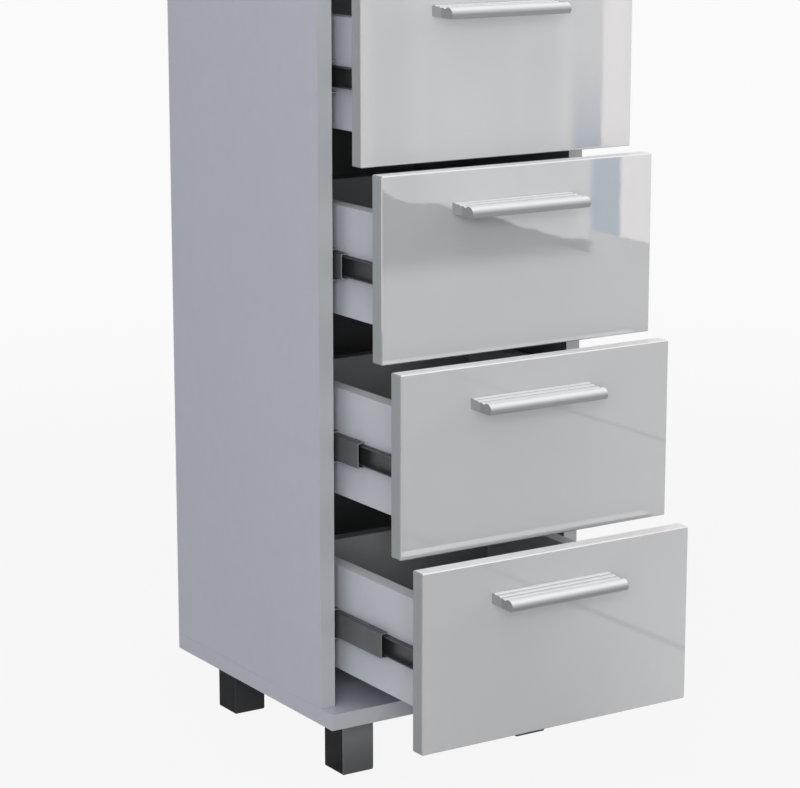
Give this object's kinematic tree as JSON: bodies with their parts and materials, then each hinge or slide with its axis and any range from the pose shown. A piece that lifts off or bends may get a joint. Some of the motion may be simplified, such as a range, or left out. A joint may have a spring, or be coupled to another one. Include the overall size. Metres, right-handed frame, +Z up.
{
  "type": "bathroom drawer cabinet",
  "caption": "Narrow white bathroom cabinet on square legs, with gloss drawers on telescopic ball slides and aluminium bar handles.",
  "frame": {"origin": "on the floor, in the middle of the whole part as it stands with its drawers open", "axes": "+Z up, the drawers open towards -Y, +X to the right as seen from the front"},
  "size_m": [0.3, 0.497, 0.7965],
  "materials": {
    "carcass_board": "satin white melamine on board",
    "front_lacquer": "high-gloss white lacquer on board",
    "drawer_board": "matt light grey foil on board",
    "thin_board": "matt grey foil on hardboard",
    "handle_aluminium": "satin anodised",
    "rail_steel": "anthracite coated",
    "cage_steel": "bright zinc",
    "leg_plastic": "matt graphite",
    "fastener_steel": "zinc plated",
    "dowel_wood": "plain beech"
  },
  "bodies": {
    "cabinet": {"side_panel_left": "carcass_board", "side_panel_right": "carcass_board", "top_panel": "carcass_board", "bottom_panel": "carcass_board", "back_panel": "thin_board", "leg_front_left": "leg_plastic", "leg_front_right": "leg_plastic", "leg_rear_left": "leg_plastic", "leg_rear_right": "leg_plastic", "leg_bolts": "fastener_steel", "carcass_dowels": "dowel_wood", "cabinet_rails_left": "rail_steel", "cabinet_rails_right": "rail_steel"},
    "drawer_1": {"drawer_1_front": "front_lacquer", "drawer_1_side_left": "drawer_board", "drawer_1_side_right": "drawer_board", "drawer_1_back": "drawer_board", "drawer_1_floor": "thin_board", "drawer_1_handle": "handle_aluminium", "drawer_1_handle_screws": "fastener_steel", "drawer_1_rails": "rail_steel"},
    "drawer_1_middle_rails_body": {"drawer_1_middle_rails": "rail_steel"},
    "drawer_1_outer_cages_body": {"drawer_1_outer_cages": "cage_steel"},
    "drawer_1_inner_cages_body": {"drawer_1_inner_cages": "cage_steel"},
    "drawer_2": {"drawer_2_front": "front_lacquer", "drawer_2_side_left": "drawer_board", "drawer_2_side_right": "drawer_board", "drawer_2_back": "drawer_board", "drawer_2_floor": "thin_board", "drawer_2_handle": "handle_aluminium", "drawer_2_handle_screws": "fastener_steel", "drawer_2_rails": "rail_steel"},
    "drawer_2_middle_rails_body": {"drawer_2_middle_rails": "rail_steel"},
    "drawer_2_outer_cages_body": {"drawer_2_outer_cages": "cage_steel"},
    "drawer_2_inner_cages_body": {"drawer_2_inner_cages": "cage_steel"},
    "drawer_3": {"drawer_3_front": "front_lacquer", "drawer_3_side_left": "drawer_board", "drawer_3_side_right": "drawer_board", "drawer_3_back": "drawer_board", "drawer_3_floor": "thin_board", "drawer_3_handle": "handle_aluminium", "drawer_3_handle_screws": "fastener_steel", "drawer_3_rails": "rail_steel"},
    "drawer_3_middle_rails_body": {"drawer_3_middle_rails": "rail_steel"},
    "drawer_3_outer_cages_body": {"drawer_3_outer_cages": "cage_steel"},
    "drawer_3_inner_cages_body": {"drawer_3_inner_cages": "cage_steel"},
    "drawer_4": {"drawer_4_front": "front_lacquer", "drawer_4_side_left": "drawer_board", "drawer_4_side_right": "drawer_board", "drawer_4_back": "drawer_board", "drawer_4_floor": "thin_board", "drawer_4_handle": "handle_aluminium", "drawer_4_handle_screws": "fastener_steel", "drawer_4_rails": "rail_steel"},
    "drawer_4_middle_rails_body": {"drawer_4_middle_rails": "rail_steel"},
    "drawer_4_outer_cages_body": {"drawer_4_outer_cages": "cage_steel"},
    "drawer_4_inner_cages_body": {"drawer_4_inner_cages": "cage_steel"}
  },
  "joints": [
    {"name": "drawer_1_slide", "type": "slide", "parent": "cabinet", "child": "drawer_1", "axis": [0, -1, 0], "range_m": [-0.058, 0.192]},
    {"name": "drawer_1_middle_rails_slide", "type": "slide", "parent": "cabinet", "child": "drawer_1_middle_rails_body", "axis": [0, -1, 0], "range_m": [-0.029, 0.096]},
    {"name": "drawer_1_outer_cages_slide", "type": "slide", "parent": "cabinet", "child": "drawer_1_outer_cages_body", "axis": [0, -1, 0], "range_m": [-0.0145, 0.048]},
    {"name": "drawer_1_inner_cages_slide", "type": "slide", "parent": "cabinet", "child": "drawer_1_inner_cages_body", "axis": [0, -1, 0], "range_m": [-0.0435, 0.144]},
    {"name": "drawer_2_slide", "type": "slide", "parent": "cabinet", "child": "drawer_2", "axis": [0, -1, 0], "range_m": [-0.092, 0.158]},
    {"name": "drawer_2_middle_rails_slide", "type": "slide", "parent": "cabinet", "child": "drawer_2_middle_rails_body", "axis": [0, -1, 0], "range_m": [-0.046, 0.079]},
    {"name": "drawer_2_outer_cages_slide", "type": "slide", "parent": "cabinet", "child": "drawer_2_outer_cages_body", "axis": [0, -1, 0], "range_m": [-0.023, 0.0395]},
    {"name": "drawer_2_inner_cages_slide", "type": "slide", "parent": "cabinet", "child": "drawer_2_inner_cages_body", "axis": [0, -1, 0], "range_m": [-0.069, 0.1185]},
    {"name": "drawer_3_slide", "type": "slide", "parent": "cabinet", "child": "drawer_3", "axis": [0, -1, 0], "range_m": [-0.123, 0.127]},
    {"name": "drawer_3_middle_rails_slide", "type": "slide", "parent": "cabinet", "child": "drawer_3_middle_rails_body", "axis": [0, -1, 0], "range_m": [-0.0615, 0.0635]},
    {"name": "drawer_3_outer_cages_slide", "type": "slide", "parent": "cabinet", "child": "drawer_3_outer_cages_body", "axis": [0, -1, 0], "range_m": [-0.03075, 0.03175]},
    {"name": "drawer_3_inner_cages_slide", "type": "slide", "parent": "cabinet", "child": "drawer_3_inner_cages_body", "axis": [0, -1, 0], "range_m": [-0.09225, 0.09525]},
    {"name": "drawer_4_slide", "type": "slide", "parent": "cabinet", "child": "drawer_4", "axis": [0, -1, 0], "range_m": [-0.159, 0.091]},
    {"name": "drawer_4_middle_rails_slide", "type": "slide", "parent": "cabinet", "child": "drawer_4_middle_rails_body", "axis": [0, -1, 0], "range_m": [-0.0795, 0.0455]},
    {"name": "drawer_4_outer_cages_slide", "type": "slide", "parent": "cabinet", "child": "drawer_4_outer_cages_body", "axis": [0, -1, 0], "range_m": [-0.03975, 0.02275]},
    {"name": "drawer_4_inner_cages_slide", "type": "slide", "parent": "cabinet", "child": "drawer_4_inner_cages_body", "axis": [0, -1, 0], "range_m": [-0.11925, 0.06825]}
  ],
  "couplings": [
    {"joint": "drawer_1_middle_rails_slide", "follows": "drawer_1_slide", "ratio": 0.5},
    {"joint": "drawer_1_outer_cages_slide", "follows": "drawer_1_slide", "ratio": 0.25},
    {"joint": "drawer_1_inner_cages_slide", "follows": "drawer_1_slide", "ratio": 0.75},
    {"joint": "drawer_2_middle_rails_slide", "follows": "drawer_2_slide", "ratio": 0.5},
    {"joint": "drawer_2_outer_cages_slide", "follows": "drawer_2_slide", "ratio": 0.25},
    {"joint": "drawer_2_inner_cages_slide", "follows": "drawer_2_slide", "ratio": 0.75},
    {"joint": "drawer_3_middle_rails_slide", "follows": "drawer_3_slide", "ratio": 0.5},
    {"joint": "drawer_3_outer_cages_slide", "follows": "drawer_3_slide", "ratio": 0.25},
    {"joint": "drawer_3_inner_cages_slide", "follows": "drawer_3_slide", "ratio": 0.75},
    {"joint": "drawer_4_middle_rails_slide", "follows": "drawer_4_slide", "ratio": 0.5},
    {"joint": "drawer_4_outer_cages_slide", "follows": "drawer_4_slide", "ratio": 0.25},
    {"joint": "drawer_4_inner_cages_slide", "follows": "drawer_4_slide", "ratio": 0.75}
  ]
}
